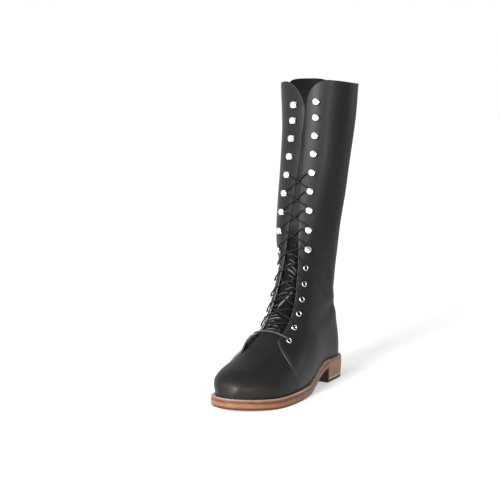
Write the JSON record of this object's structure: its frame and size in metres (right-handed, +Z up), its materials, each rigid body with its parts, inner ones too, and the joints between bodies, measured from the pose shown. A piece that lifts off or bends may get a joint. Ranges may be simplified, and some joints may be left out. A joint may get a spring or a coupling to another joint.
{
  "type": "tall boot",
  "caption": "Tall black leather lace-up boot for the left foot with ring eyelets, speed hooks, open facings, full tongue, welted tan leather sole and a low stacked heel.",
  "frame": {"origin": "middle of the boot's box on the floor plane", "axes": "+Z up, toe towards -Y, outer side of the left foot towards +X"},
  "size_m": [0.1092, 0.277, 0.4059],
  "materials": {
    "upper_leather": "satin black",
    "tongue_leather": "soft black",
    "sole_leather": "waxed russet edge",
    "heel_leather": "waxed stacked leather",
    "insole_leather": "natural",
    "heel_rubber": "matt",
    "nickel": "polished nickel",
    "lace_cord": "waxed braided cord"
  },
  "bodies": {
    "root": {"upper": "upper_leather", "tongue": "tongue_leather", "insole": "insole_leather", "welt": "sole_leather", "outsole": "sole_leather", "heel_rand": "heel_leather", "heel_stack": "heel_leather", "heel_top_piece": "heel_rubber", "eyelet_outer_1": "nickel", "eyelet_outer_2": "nickel", "eyelet_outer_3": "nickel", "eyelet_outer_4": "nickel", "eyelet_outer_5": "nickel", "eyelet_outer_6": "nickel", "hook_outer_1": "nickel", "hook_outer_2": "nickel", "hook_outer_3": "nickel", "hook_outer_4": "nickel", "hook_outer_5": "nickel", "hook_outer_6": "nickel", "hook_outer_7": "nickel", "hook_outer_8": "nickel", "hook_outer_9": "nickel", "eyelet_inner_1": "nickel", "eyelet_inner_2": "nickel", "eyelet_inner_3": "nickel", "eyelet_inner_4": "nickel", "eyelet_inner_5": "nickel", "eyelet_inner_6": "nickel", "hook_inner_1": "nickel", "hook_inner_2": "nickel", "hook_inner_3": "nickel", "hook_inner_4": "nickel", "hook_inner_5": "nickel", "hook_inner_6": "nickel", "hook_inner_7": "nickel", "hook_inner_8": "nickel", "hook_inner_9": "nickel", "lace_bar": "lace_cord", "lace_crossing_1": "lace_cord", "lace_crossing_2": "lace_cord", "lace_crossing_3": "lace_cord", "lace_crossing_4": "lace_cord", "lace_crossing_5": "lace_cord", "lace_crossing_6": "lace_cord", "lace_crossing_7": "lace_cord", "lace_crossing_8": "lace_cord", "lace_crossing_9": "lace_cord", "lace_crossing_10": "lace_cord"}
  },
  "joints": []
}
